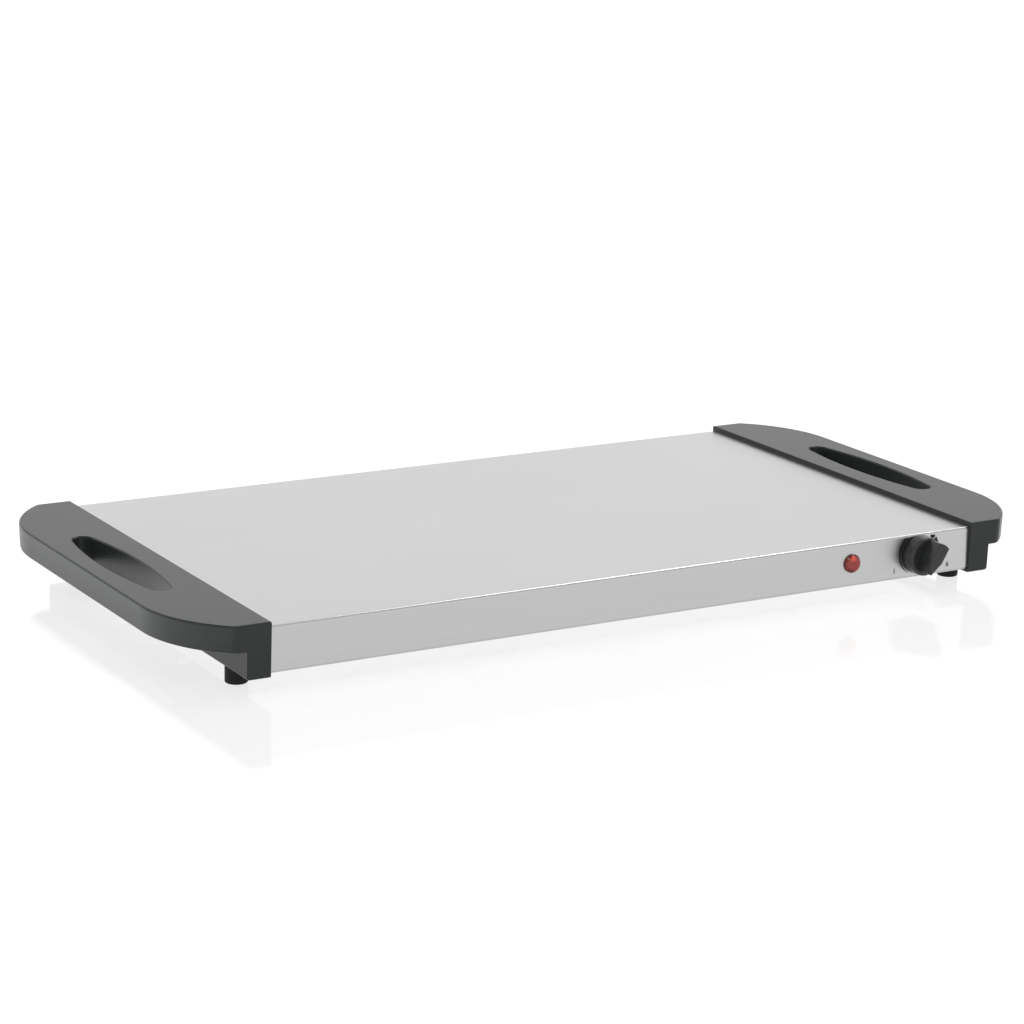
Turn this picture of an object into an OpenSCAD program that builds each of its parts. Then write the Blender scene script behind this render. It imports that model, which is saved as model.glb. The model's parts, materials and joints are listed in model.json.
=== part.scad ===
// Electric buffet warmer: a folded steel hot plate carried between two moulded end handles.
// +X runs to the control end, -Y is the front panel, +Z is up, and Z = 0 is the table.

/* [Case] */
// Length of the plate that shows between the handles
plate_l = 497; // [420:1:600]
// Depth of the case from front panel to rear panel
plate_w = 295; // [270:1:340]
// Height of the front and rear panels
case_h = 28.5; // [27.5:0.5:34]
// Distance from the top of the plate to the axes of the knob, lamp and cord inlet
axis_drop = 13.3; // [13.2:0.1:14]
// Gauge of the folded steel cover
sheet = 0.8; // [0.6:0.1:1.2]
// Outside radius of the folds of the cover
bend_r = 1.6; // [1.4:0.1:3]
// Depth of the lip that the cover turns in under the case
lip_w = 12; // [10:0.5:12]

/* [Base pan] */
// Gauge of the base pan
pan_sheet = 0.6; // [0.5:0.1:1]
// Height of the turned-up long edges of the base pan
pan_edge_h = 3.5; // [2.5:0.5:4]
// Width of a pressed bead at its root
bead_w = 12; // [8:0.5:14]
// Depth of a pressed bead
bead_h = 1.2; // [0.8:0.1:1.6]
// Distance from a panel to the middle of the nearest bead
bead_margin = 54.5; // [50:0.5:60]
// Distance from the handle to the end of a bead
bead_end = 22; // [15:1:60]

/* [Handles] */
// Reach of a handle past the plate that shows
grip_l = 53.3; // [52:0.1:58]
// Wall of the handle in front of and behind the case
side_wall = 2.5; // [2:0.1:4]
// Wall of the handle above the plate
cap_top = 3; // [2:0.1:5]
// Wall of the handle under the case
cap_floor = 2; // [1.8:0.1:4]
// Length of the block that wraps the end of the case
block_l = 15.2; // [15:0.1:15.7]
// Wall that closes the end of the block
end_wall = 2.5; // [2:0.1:3]
// Thickness of the grip from its top to its lower edge
grip_t = 16.6; // [14:0.1:20]
// Depth of the large corners of the grip, from its front face to its straight outer side
corner_depth = 63; // [56:1:68]
// Radius of the large corners of the grip in plan
corner_r = 80; // [74:1:84]
// Radius where a large corner meets the front or rear face
nose_r = 6; // [5:0.5:7]
// Draft of the outer faces of the handle
draft = 2; // [1:0.5:3]
// Rounding of the upper edges
edge_r = 1.4; // [1:0.1:2]
// Rounding of the edges of a handle beside the plate
inner_r = 0.5; // [0.3:0.1:1]
// Rounding of the lower edge of the grip
low_r = 2; // [1.5:0.1:2.4]
// Rounding of the lower outer edge of the block
block_low_r = 2.2; // [1.4:0.1:2.4]
// Wall of the skirt of the grip
skirt_wall = 3.6; // [3.4:0.1:4.5]
// Thickness of the ribs under the grip
rib_t = 1.8; // [1.2:0.1:2.5]
// Distance between the ribs
rib_pitch = 24; // [18:1:30]
// Distance that the ribs stay above the lower edge of the grip
rib_recess = 2; // [1:0.5:4]

/* [Finger slot] */
// Length of the finger slot
slot_l = 131; // [110:1:140]
// Width of the finger slot at its middle
slot_w = 24; // [20:0.5:24.5]
// Radius of the ends of the finger slot
slot_end_r = 6.5; // [5:0.5:8]
// Distance from the plate that shows to the middle of the slot
slot_from_plate = 28.3; // [28:0.1:29]
// Wall round the finger slot
slot_wall = 2.5; // [2:0.1:3]
// Chamfer on the upper edge of the slot
slot_chamfer = 0.8; // [0.4:0.1:1.2]

/* [Feet] */
// Radius of a rubber foot
foot_r = 6.8; // [6.2:0.1:7.2]
// Height of a rubber foot
foot_h = 10; // [8:0.5:14]
// Distance from the front or rear face of a handle to the middle of a foot
foot_inset = 31.5; // [26:0.5:50]
// Rounding of the lower edge of a foot
foot_round = 1; // [0.5:0.1:1.2]
// Depth of the recess that takes the screw head
foot_recess = 5; // [4:0.5:6]
// Radius of the recess that takes the screw head
foot_recess_r = 4.3; // [4.1:0.1:4.6]

/* [Fasteners] */
// Radius of the screws through the feet and handles
screw_r = 2; // [1.7:0.1:2.2]
// Radius of the head of these screws
head_r = 3.7; // [3.4:0.1:3.9]
// Height of the head of these screws
head_h = 2.4; // [2:0.1:3]
// Width across the flats of the nuts in the base pan
nut_af = 7; // [6.5:0.1:7.5]
// Height of the nuts in the base pan
nut_h = 3.2; // [2.5:0.1:4]
// Distance of the inner handle screws from the middle line
handle_screw_y = 45; // [30:1:70]
// Radius of the screws along the lips
base_screw_r = 1.5; // [1.2:0.1:1.7]
// Radius of the head of the lip screws
base_head_r = 2.8; // [2.4:0.1:3.2]
// Height of the head of the lip screws
base_head_h = 1.4; // [1.2:0.1:1.6]
// Distance from a handle to the nearest lip screw
base_screw_end = 28.5; // [20:0.5:40]
// Distance from the inner edge of a lip to the heads of its screws
base_screw_margin = 0.4; // [0.2:0.1:1]
// Number of lip screws along each panel
base_screw_count = 5; // [3:2:5]

/* [Control knob] */
// Distance from the handle to the axis of the knob
knob_from_end = 40; // [38:0.5:50]
// Gap between the front panel and the knob
knob_gap = 1; // [0.5:0.1:1.5]
// Radius of the drum of the knob beside the panel
knob_skirt_r = 12.7; // [12.5:0.1:12.9]
// Radius of the drum of the knob beside its face
knob_drum_r = 12.4; // [12.3:0.1:12.5]
// Height of the drum of the knob
knob_drum_h = 8.6; // [8:0.1:10]
// Rounding round the face of the drum
knob_round = 1.6; // [1.2:0.1:1.7]
// Radius of the dish in the face of the drum
dish_r = 10.2; // [9.5:0.1:10.3]
// Depth of the dish in the face of the drum
dish_h = 1.2; // [0.8:0.1:1.4]
// Height of the finger bar above the drum
bar_h = 10.7; // [8:0.1:12]
// Distance from the axis to the point of the finger bar
bar_front = 9.8; // [9:0.1:11]
// Distance from the axis to the blunt end of the finger bar
bar_back = 11.5; // [11:0.1:12.2]
// Width of the finger bar at its blunt end
bar_w = 8.8; // [7:0.1:10]
// Width of the finger bar at its point
bar_tip_w = 1.8; // [1:0.1:3]
// Chamfer on the edges of the finger bar
bar_chamfer = 0.5; // [0.3:0.1:0.6]
// Angle of the point at rest, clockwise from straight down
knob_rest = 30; // [20:1:45]
// Thickness of the flat spring in the bore of the knob
knob_spring_t = 0.4; // [0.3:0.05:0.5]
// Radius of the hollow under the knob
knob_hollow_r = 9.4; // [9:0.1:9.6]
// Depth of the hollow under the knob
knob_hollow_h = 4.4; // [4:0.1:5]

/* [Thermostat] */
// Radius of the spindle
spindle_r = 3; // [2.5:0.1:3.2]
// Depth of the flat from the axis of the spindle
spindle_flat = 1.5; // [1.2:0.1:2]
// Reach of the spindle in front of the panel
spindle_reach = 13; // [11:0.5:14]
// Radius of the collar of the spindle behind the bush
spindle_collar_r = 4; // [3.6:0.1:4.5]
// Thickness of the collar of the spindle
spindle_collar_t = 1.5; // [1:0.1:2]
// Radius of the tip that bears on the adjusting leaf
adjust_tip_r = 1.5; // [1:0.1:2]
// Radius of the thread of the bush
bush_r = 5; // [4.6:0.1:5.4]
// Radius of the collar of the bush behind the panel
bush_collar_r = 7.5; // [7:0.1:8.5]
// Thickness of the collar of the bush
bush_collar_t = 2; // [1.5:0.1:3]
// Thickness of the lock washer in front of the panel
washer_t = 0.8; // [0.5:0.1:1]
// Width across the flats of the nut on the bush
bush_nut_af = 14; // [13:0.1:15]
// Thickness of the nut on the bush
bush_nut_t = 2.4; // [2:0.1:2.6]
// Height of the thermostat frame
frame_h = 15; // [12:0.5:16]
// Thickness of the thermostat frame
frame_t = 1.2; // [0.8:0.1:1.5]
// Reach of the thermostat frame to the left of the spindle
frame_left = 10; // [8.5:0.5:14]
// Distance from the spindle to the insulator stack
stack_x = 14.5; // [13.5:0.5:17]
// Radius of the insulator rings
stack_r = 5; // [4:0.1:5.5]
// Radius of the rivet through the stack
rivet_r = 1.8; // [1.5:0.1:2.2]
// Radius of the heads of the rivet
rivet_head_r = 3.2; // [2.6:0.1:3.4]
// Thickness of the heads of the rivet
rivet_head_t = 1; // [0.6:0.1:1.2]
// Length of the insulator ring under the adjusting leaf
adjust_ring_l = 6.5; // [6:0.1:7.5]
// Length of the insulator ring between the leaves
contact_ring_l = 3; // [2.5:0.1:4]
// Length of the insulator ring under the bimetal strip
bimetal_ring_l = 2.5; // [2:0.1:3]
// Gauge of the contact leaves
leaf_t = 0.4; // [0.3:0.05:0.6]
// Width of the contact leaves
leaf_w = 7; // [5:0.5:8]
// Reach of the contact leaves to the left of the spindle
leaf_left = 8; // [6:0.5:10]
// Length of the tags of the contact leaves past the stack
tag_l = 8; // [6:0.5:10]
// Radius of the contact rivets
contact_r = 1.8; // [1.2:0.1:2]
// Gap between the open contacts
contact_gap = 0.5; // [0.3:0.1:1]
// Thickness of the bimetal strip
bimetal_t = 1; // [0.8:0.1:1.4]
// Radius of the ceramic push pin
push_pin_r = 1.2; // [0.9:0.1:1.6]

/* [Indicator lamp] */
// Distance from the handle to the axis of the lamp
lamp_from_end = 92; // [80:1:100]
// Radius of the rim of the lens
lens_r = 6; // [5.5:0.1:7]
// Thickness of the rim of the lens
lens_rim_t = 0.9; // [0.6:0.1:1.5]
// Radius of the face of the lens
lens_face_r = 4.4; // [3.5:0.1:5]
// Radius of the dome of the face of the lens
lens_dome_r = 24; // [18:1:40]
// Reach of the lens in front of the panel
lens_reach = 3; // [2:0.1:4]
// Radius of the barrel of the lens
lamp_r = 4.7; // [4.2:0.1:5]
// Wall of the barrel and of the lamp holder
lamp_wall = 1; // [0.8:0.1:1.2]
// Length of the barrel of the lens behind the panel
barrel_l = 5; // [4:0.5:7]
// Length of the lamp holder
holder_l = 15; // [14:0.5:18]
// Radius of the retaining ring behind the panel
clip_r = 7.5; // [6.5:0.1:8.5]
// Gauge of the retaining ring
clip_t = 0.5; // [0.3:0.1:0.8]
// Radius of the neon bulb
bulb_r = 2.5; // [2:0.1:2.8]
// Length of the neon bulb
bulb_l = 11; // [9:0.5:12]
// Length of the bulb seat at the back of the lamp holder
bulb_seat_l = 5; // [4:0.5:7]
// Radius of the series resistor
resistor_r = 1; // [0.8:0.1:1.2]
// Length of the series resistor
resistor_l = 4.5; // [4:0.5:5]

/* [Heater] */
// Radius of the heating cable
cable_r = 1.2; // [0.9:0.1:1.5]
// Number of runs of the heating cable
cable_runs = 8; // [4:2:10]
// Distance from the edge of the foil to the cable
cable_margin = 8; // [5:0.5:14]
// Thickness of the heater foil
foil_t = 0.4; // [0.3:0.1:0.6]
// Distance from a panel to the heater foil
foil_margin = 38; // [37:0.5:50]
// Distance from a handle to the end of the foil
foil_end = 4; // [2:0.5:10]
// Radius of the thermal fuse
fuse_r = 2; // [1.5:0.1:2.5]
// Length of the thermal fuse
fuse_l = 11.5; // [9:0.5:13]
// Distance from the handle to the middle of the fuse
fuse_from_end = 70; // [66:1:74]
// Distance from the front panel to the fuse
fuse_from_front = 20; // [16:0.5:24]
// Gauge of the clip that holds the fuse
fuse_clip_t = 0.5; // [0.3:0.1:0.8]
// Width of the clip that holds the fuse
fuse_clip_w = 6; // [4:0.5:8]
// Length of each tab of the clip that holds the fuse
fuse_tab = 5; // [4:0.5:7]

/* [Insulation] */
// Distance from a panel to the insulation mat
mat_margin = 11.5; // [11.5:0.5:14]
// Distance from a handle to the end of the mat
mat_end = 2; // [1:0.5:6]
// Length of the wiring bay at the control end
bay_l = 119; // [112:1:130]
// Depth of the open strip of the bay behind the front panel
bay_front = 35; // [30:0.5:36]
// Depth of the open strip of the bay in front of the rear panel
bay_rear = 29; // [26:0.5:36]
// Thickness of the mat above the bay
bay_mat_t = 6; // [4:0.5:7]
// Gauge of the heat shield
shield_t = 0.5; // [0.4:0.1:0.8]
// Length of the foot of the heat shield
shield_foot = 10; // [6:0.5:14]

/* [Wiring] */
// Distance from the handle to the middle of the terminal block
terminal_from_end = 47; // [44:1:52]
// Distance from the rear panel to the middle of the terminal block
terminal_from_rear = 47; // [44:1:56]
// Distance between the poles of the terminal block
pole_pitch = 12; // [10:0.5:13]
// Depth of the terminal block
terminal_d = 20; // [16:0.5:24]
// Height of the terminal block
terminal_h = 12; // [11:0.5:13]
// Height of the poles above the base pan
pole_h = 5; // [4:0.1:6]
// Outer radius of the brass tubes of the poles
pole_r = 2; // [1.9:0.1:2.4]
// Bore radius of the brass tubes of the poles
pole_bore_r = 1.5; // [1.5:0.05:1.6]
// Radius of the clamping screws of the poles
pole_screw_r = 1.4; // [1.1:0.1:1.6]
// Radius of the insulated wires
wire_r = 0.8; // [0.7:0.05:0.8]
// Radius of the thin leads of the lamp
lamp_wire_r = 0.6; // [0.4:0.05:0.6]
// Distance from the terminal block to the earth screw
earth_from_terminal = 36; // [32:1:40]
// Distance from the rear panel to the earth screw
earth_from_rear = 34; // [32:0.5:36]
// Height of the shank of the earth screw above the base pan
earth_h = 7; // [6:0.5:9]
// Thickness of the earth tag
tag_t = 0.8; // [0.5:0.1:1.2]
// Radius of the earth tag
tag_r = 4.5; // [4.2:0.1:5]

/* [Cord inlet] */
// Distance from the handle to the axis of the cord gland
gland_from_end = 47; // [44:1:60]
// Bore radius of the cord gland
gland_bore_r = 3.75; // [3:0.05:4.2]
// Radius of the thread of the cord gland
gland_r = 6; // [5.6:0.1:6.5]
// Radius of the flange of the cord gland
gland_flange_r = 9; // [8:0.1:10]
// Thickness of the flange of the cord gland
gland_flange_t = 2.2; // [1.5:0.1:2.5]
// Length of the thread of the cord gland behind the panel
gland_l = 9; // [7:0.5:12]
// Width across the flats of the gland nut
gland_nut_af = 17; // [15:0.5:17]
// Thickness of the gland nut
gland_nut_t = 4; // [3:0.5:5]

/* [Fits] */
// Clearance round pieces that slip together
fit_gap = 0.15; // [0.1:0.01:0.25]
// Radial clearance of the spindle in its bush
run_gap = 0.05; // [0.02:0.01:0.09]
// Gap between the end of the case and the end wall of a handle
end_gap = 0.5; // [0.3:0.1:0.6]
// Gap between a moving face and a fixed one
free_gap = 0.4; // [0.3:0.05:0.6]

/* [Hidden] */

$fn = 64;
long_arc = 720;
cut = 1;
sink = 0.5;
bite = 0.01;

half_l = plate_l / 2;
half_w = plate_w / 2;
case_bottom = foot_h + cap_floor;
case_top = case_bottom + case_h;
mid_z = case_top - axis_drop;
inside_bottom = case_bottom + sheet;
inside_top = case_top - sheet;
pan_top = inside_bottom + pan_sheet;
pan_half_w = half_w - sheet - fit_gap;
bead_pitch = 2 * (half_w - bead_margin) / 3;
lap = block_l - end_wall - end_gap;
case_end = half_l + lap;

knob_face = knob_gap + knob_drum_h;
dish_curve_r = (pow(dish_r, 2) + pow(dish_h, 2)) / (2 * dish_h);
bar_foot = knob_face - dish_h - sink;
bar_points = [
    [-bar_w / 2, -bar_back - cut], [bar_w / 2, -bar_back - cut], [bar_w / 2, 0],
    [bar_tip_w / 2, bar_front], [-bar_tip_w / 2, bar_front], [-bar_w / 2, 0]
];
knob_reach = knob_face + bar_h;
rear_reach = max(side_wall, gland_flange_t);
case_y = (knob_reach - rear_reach) / 2;

cap_half_w = half_w + side_wall;
cap_z = case_top + cap_top;
block_end = half_l + block_l;
grip_end = half_l + grip_l;
grip_bottom = cap_z - grip_t;
grip_ceiling = case_top;
straight_half = cap_half_w - corner_depth;
straight_l = 2 * straight_half;
corner_x = grip_end - corner_r;
nose_step = 0.05;
grip_half_w = cap_half_w - nose_step;
nose_y = grip_half_w - nose_r;
nose_x = corner_x + sqrt(pow(corner_r - nose_r, 2) - pow(nose_y - straight_half, 2));
corner_turn = atan2(nose_y - straight_half, nose_x - corner_x);
nose_lap = 3;
block_lap = 1.5;
rim_w = nose_r;
rim_normal = [cos(draft), -sin(draft)];
rim_top = [rim_w - edge_r, cap_z - edge_r];
rim_drop = rim_top[1] - grip_bottom - low_r;
rim_low = [rim_top[0] - rim_drop * tan(draft) + (edge_r - low_r) / cos(draft), grip_bottom + low_r];
land_half_w = half_w - lip_w - fit_gap;

slot_x = half_l + slot_from_plate;
slot_end_y = slot_l / 2 - slot_end_r;
slot_side_r = (pow(slot_w / 2, 2) + pow(slot_end_y, 2) - pow(slot_end_r, 2)) / (slot_w - 2 * slot_end_r);
slot_meet = asin(slot_end_y / (slot_side_r - slot_end_r));
slot_bulge = 0.05;

screw_x = half_l + block_l / 2 - fit_gap;
foot_y = cap_half_w - foot_inset;
lip_screw_y = half_w - lip_w + base_screw_margin + base_head_r;
lip_screw_x = [for (i = [0 : base_screw_count - 1])
    (2 * i / (base_screw_count - 1) - 1) * (half_l - base_screw_end)];
nut_points = [for (sx = [-1, 1], y = [-foot_y, -handle_screw_y, handle_screw_y, foot_y]) [sx * screw_x, y]];

knob_x = half_l - knob_from_end;
lamp_x = half_l - lamp_from_end;
gland_x = half_l - gland_from_end;

collar_z = -sheet - bush_collar_t;
frame_z = collar_z - frame_t;
bush_end_z = frame_z - frame_t;
spindle_collar_z = bush_end_z - free_gap;
adjust_z = frame_z - adjust_ring_l;
second_ring_z = adjust_z - leaf_t;
contact_z = second_ring_z - contact_ring_l;
third_ring_z = contact_z - leaf_t;
bimetal_z = third_ring_z - bimetal_ring_l;
stack_end_z = bimetal_z - bimetal_t;
contact_t = (contact_ring_l - contact_gap) / 2;
tag_end = stack_x + stack_r + tag_l;

barrel_z = -sheet - barrel_l;
holder_end_z = barrel_z - holder_l;
bulb_base_z = holder_end_z + resistor_l + lamp_wall;

foil_half_w = half_w - foil_margin;
foil_half_l = half_l - foil_end;
cable_z = inside_top - cable_r;
foil_z = inside_top - 2 * cable_r - foil_t;
cable_pitch = 2 * (foil_half_w - cable_margin) / (cable_runs - 1);
cable_run_x = foil_half_l - cable_margin - cable_pitch / 2;
cable_end_x = foil_half_l - cable_margin;
cable_y = foil_half_w - cable_margin;
fuse_x = half_l - fuse_from_end;
fuse_y = fuse_from_front - half_w;
fuse_z = inside_top - fuse_r;
fuse_reach = fuse_l / 2 + fuse_r;

bay_x = half_l - bay_l;
mat_half_l = half_l - mat_end;
mat_half_w = half_w - mat_margin;
bay_front_y = bay_front - half_w;
bay_rear_y = half_w - bay_rear;
bay_mat_z = foil_z - bay_mat_t;
shield_z = bay_mat_z - shield_t;

terminal_x = half_l - terminal_from_end;
terminal_y = half_w - terminal_from_rear;
terminal_w = 3 * pole_pitch;
terminal_front = terminal_y - terminal_d / 2;
terminal_rear = terminal_y + terminal_d / 2;
pole_x = [for (i = [-1 : 1]) terminal_x + i * pole_pitch];
pole_z = pan_top + pole_h;
pole_screw_y = terminal_d / 4;
pole_screw_z = pole_z + wire_r + run_gap;
pole_screw_h = pan_top + terminal_h - pole_screw_z - sink;
wire_bury = 0.4 * terminal_d;
wire_shift = pole_bore_r - wire_r - run_gap;
lamp_wire_shift = pole_bore_r - lamp_wire_r - run_gap;
earth_x = terminal_x - earth_from_terminal;
earth_y = half_w - earth_from_rear;
tag_z = pan_top + tag_t + wire_r + run_gap;
leaf_end = knob_x + tag_end;
adjust_y = leaf_t / 2 - half_w - adjust_z;
contact_y = leaf_t / 2 - half_w - contact_z;
holder_y = -half_w - holder_end_z;

// Routes of the wires
function into_front(x, way) = [for (p = [[-9, 1.6], [-5, 0.5], [-1, 0.05], [wire_bury, 0]])
    [x + way * p[1], terminal_front + p[0], pole_z]];
function into_rear(x) = [for (y = [5, 1, -wire_bury]) [x, terminal_rear + y, pole_z]];
function tail(p, way) = [for (d = [run_gap, 2, 4]) p + d * way];
function tail_back(p, way) = [for (d = [4, 2, run_gap]) p + d * way];
mains_route = concat(tail([fuse_x - fuse_reach, fuse_y, fuse_z], [-1, 0, 0]), [
    [fuse_x - 14, fuse_y + 7, fuse_z - 6],
    [fuse_x - 6, fuse_y + 26, pan_top + 6],
    [knob_x - 12, -40, pan_top + 3],
    [knob_x + 3, 40, pan_top + 3]
], into_front(pole_x[2] + wire_shift, 1));
fuse_route = concat(tail([fuse_x + fuse_reach, fuse_y, fuse_z], [1, 0, 0]), [
    [knob_x - 3, fuse_y + 4, fuse_z - 1],
    [knob_x + 22, fuse_y + 5, fuse_z - 3],
    [leaf_end + 7, fuse_y - 1, fuse_z - 5],
    [leaf_end + 8, adjust_y + 2, mid_z + 3]
], tail_back([leaf_end, adjust_y, mid_z], [1, 0, 0]));
front_lead_route = concat(tail([leaf_end, contact_y, mid_z], [1, 0, 0]), [
    [half_l + 2, bay_front_y - 10, mid_z + 2],
    [half_l + 6, bay_front_y + 3, cable_z - 4],
    [half_l + 2, -cable_y, cable_z],
    [cable_end_x + 6, -cable_y, cable_z],
    [cable_end_x, -cable_y, cable_z]
]);
rear_lead_route = concat([
    [cable_end_x, cable_y, cable_z],
    [cable_end_x + 6, cable_y, cable_z],
    [half_l + 2, cable_y, cable_z],
    [half_l + 6, cable_y - 3, cable_z - 6],
    [half_l + 2, cable_y - 8, mid_z - 1],
    [half_l - 9, terminal_front - 6, pole_z + 5],
    [pole_x[2] + 6, terminal_front - 14, pole_z + 5],
    [pole_x[1] + 8, terminal_front - 14, pole_z + 4]
], into_front(pole_x[1] + wire_shift, 1));
lamp_neutral_route = concat(tail([lamp_x, holder_y, mid_z - lamp_r / 2], [0, 1, 0]), [
    [lamp_x - 4, bay_front_y + 12, pan_top + 3],
    [lamp_x + 14, -40, pan_top + 2],
    [lamp_x + 36, 40, pan_top + 2]
], into_front(pole_x[1] - lamp_wire_shift, -1));
lamp_live_route = concat(tail([lamp_x, holder_y, mid_z + lamp_r / 2], [0, 1, 0]), [
    [lamp_x + 3, bay_front_y + 12, pan_top + 3],
    [lamp_x + 24, -40, pan_top + 2],
    [lamp_x + 47, 40, pan_top + 2]
], into_front(pole_x[2] - lamp_wire_shift, -1));
earth_route = concat([
    [earth_x + tag_r, earth_y, tag_z],
    [earth_x + tag_r + 4, earth_y, tag_z + 0.3],
    [pole_x[0] - 8, terminal_rear + 6, pan_top + 3],
    [pole_x[0] - 3, terminal_rear + 8, pole_z]
], into_rear(pole_x[0]));

steel = [0.78, 0.78, 0.77];
zinc = [0.68, 0.69, 0.70];
brass = [0.80, 0.64, 0.32];
black_plastic = [0.20, 0.21, 0.21];
black_rubber = [0.08, 0.08, 0.08];
ceramic_white = [0.90, 0.88, 0.84];
glass_wool = [0.90, 0.85, 0.62];
lamp_red = [0.75, 0.12, 0.08];

// Frames
module in_frame() translate([0, case_y, 0]) children();
module front_at(x) translate([x, -half_w, mid_z]) rotate([90, 0, 0]) children();
module rear_at(x) translate([x, half_w, mid_z]) rotate([90, 0, 180]) children();
module at_points(points, z) for (p = points) translate([p[0], p[1], z]) children();
module both_sides() for (s = [0, 1]) mirror([0, s, 0]) children();
module along_x(length) rotate([90, 0, 90]) linear_extrude(length, center = true) children();
module along_y(length) rotate([90, 0, 0]) linear_extrude(length, center = true) children();

// Shared shapes
module rounded_rect(w, h, r) {
    translate([-w / 2, r]) square([w, h - 2 * r]);
    translate([r - w / 2, 0]) square([w - 2 * r, h]);
    for (x = [r - w / 2, w / 2 - r], y = [r, h - r]) translate([x, y]) circle(r);
}

module disc(z0, z1, r) translate([0, 0, min(z0, z1)]) cylinder(h = abs(z1 - z0), r = r);

module ring(z0, z1, outer, inner) difference() {
    disc(z0, z1, outer);
    disc(min(z0, z1) - cut, max(z0, z1) + cut, inner);
}

module hex(z0, z1, across_flats, bore) difference() {
    translate([0, 0, min(z0, z1)]) cylinder(h = abs(z1 - z0), r = across_flats / sqrt(3), $fn = 6);
    disc(min(z0, z1) - cut, max(z0, z1) + cut, bore);
}

// Pan-head screw, head down: its shank starts at the origin
module pan_screw(r, shank, cap_r, cap_h) {
    recess_w = cap_r / 4;
    difference() {
        union() {
            disc(0, shank, r);
            disc(-cap_h / 2, 0, cap_r);
            translate([0, 0, -cap_h]) cylinder(h = cap_h / 2, r1 = cap_r - cap_h / 2, r2 = cap_r);
        }
        for (turn = [0, 90])
            rotate([0, 0, turn])
                translate([-cap_r / 2, -recess_w / 2, -cap_h - cut])
                    cube([cap_r, recess_w, cap_h / 2 + cut]);
    }
}

// Bar with round ends whose sides lean in towards its foot
module bead(length, root_r, tip_r, depth) {
    straight = length / 2 - root_r;
    for (s = [-1, 1]) translate([s * straight, 0, 0]) cylinder(h = depth, r1 = tip_r, r2 = root_r);
    along_x(2 * straight)
        polygon([[-tip_r, 0], [tip_r, 0], [root_r, depth], [-root_r, depth]]);
}

// Insulated wire swept along a smooth curve through its points
wire_sides = 8;
wire_steps = 4;
function curve_point(a, b, c, d, t) =
    0.5 * (2 * b + (c - a) * t + (2 * a - 5 * b + 4 * c - d) * t * t
        + (3 * b - a - 3 * c + d) * t * t * t);
function curve(points) = let (last = len(points) - 1) concat(
    [for (i = [0 : last - 1], k = [0 : wire_steps - 1])
        curve_point(points[max(i - 1, 0)], points[i], points[i + 1], points[min(i + 2, last)], k / wire_steps)],
    [points[last]]);
function unit(v) = v / norm(v);
function across(v) = unit(abs(v[2]) < 0.9 * norm(v) ? cross(v, [0, 0, 1]) : cross(v, [1, 0, 0]));
function heading(path, i) =
    unit(path[min(i + 1, len(path) - 1)] - path[max(i - 1, 0)]);
function carried(side, v) = unit(side - v * (side * v));
function sides_along(path, i = 0, side = undef, done = []) =
    i == len(path) ? done
    : let (v = heading(path, i), s = is_undef(side) ? across(v) : carried(side, v))
        sides_along(path, i + 1, s, concat(done, [s]));

module wire(points, r) {
    path = curve(points);
    side = sides_along(path);
    n = wire_sides;
    rings = len(path);
    rim = [for (i = [0 : rings - 1], k = [0 : n - 1])
        let (up = cross(heading(path, i), side[i]))
            path[i] + r * (cos(360 * k / n) * side[i] + sin(360 * k / n) * up)];
    walls = [for (i = [0 : rings - 2], k = [0 : n - 1], half = [0, 1])
        let (a = i * n + k, b = i * n + (k + 1) % n)
            half == 0 ? [a, a + n, b] : [b, a + n, b + n]];
    start_cap = [for (k = [1 : n - 2]) [0, k, k + 1]];
    end_cap = [for (k = [1 : n - 2]) [(rings - 1) * n, (rings - 1) * n + k + 1, (rings - 1) * n + k]];
    polyhedron(points = rim, faces = concat(walls, start_cap, end_cap));
}

// Casing
module heating_plate() color(steel) difference() {
    along_x(2 * case_end) translate([0, case_bottom]) difference() {
        rounded_rect(plate_w, case_h, bend_r);
        translate([0, sheet]) rounded_rect(plate_w - 2 * sheet, case_h - 2 * sheet, bend_r - sheet);
        translate([lip_w - half_w, -cut]) square([plate_w - 2 * lip_w, sheet + 2 * cut]);
    }
    front_at(knob_x) disc(-sheet - cut, cut, bush_r + fit_gap);
    front_at(lamp_x) disc(-sheet - cut, cut, lamp_r + fit_gap);
    rear_at(gland_x) disc(-sheet - cut, cut, gland_r + fit_gap);
    lip_screw_holes();
}

module lip_screw_holes() both_sides()
    for (x = lip_screw_x)
        translate([x, lip_screw_y, 0]) disc(case_bottom - cut, pan_top + cut, base_screw_r + fit_gap);

module base_pan() color(zinc) difference() {
    union() {
        along_x(2 * (case_end - fit_gap)) pan_section();
        pan_beads(inside_bottom - bead_h, bead_w / 2, 0);
    }
    pan_beads(inside_bottom - bead_h + pan_sheet, bead_w / 2 - pan_sheet, cut);
    lip_screw_holes();
    at_points(nut_points, 0) disc(case_bottom, pan_top + cut, screw_r + fit_gap);
    translate([earth_x, earth_y, 0]) disc(case_bottom, pan_top + cut, screw_r + fit_gap);
}

module pan_section() translate([0, inside_bottom]) intersection() {
    difference() {
        rounded_rect(2 * pan_half_w, 2 * pan_edge_h, bend_r);
        translate([0, pan_sheet])
            rounded_rect(2 * (pan_half_w - pan_sheet), 2 * pan_edge_h, bend_r - pan_sheet);
    }
    translate([-half_w, 0]) square([plate_w, pan_edge_h]);
}

module pan_beads(z, root_r, rise) for (i = [-1.5 : 1 : 1.5])
    translate([0, i * bead_pitch, z]) {
        depth = bead_h + rise;
        bead(2 * (half_l - bead_end) - bead_w + 2 * root_r, root_r, root_r - bead_h, depth);
    }

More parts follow.
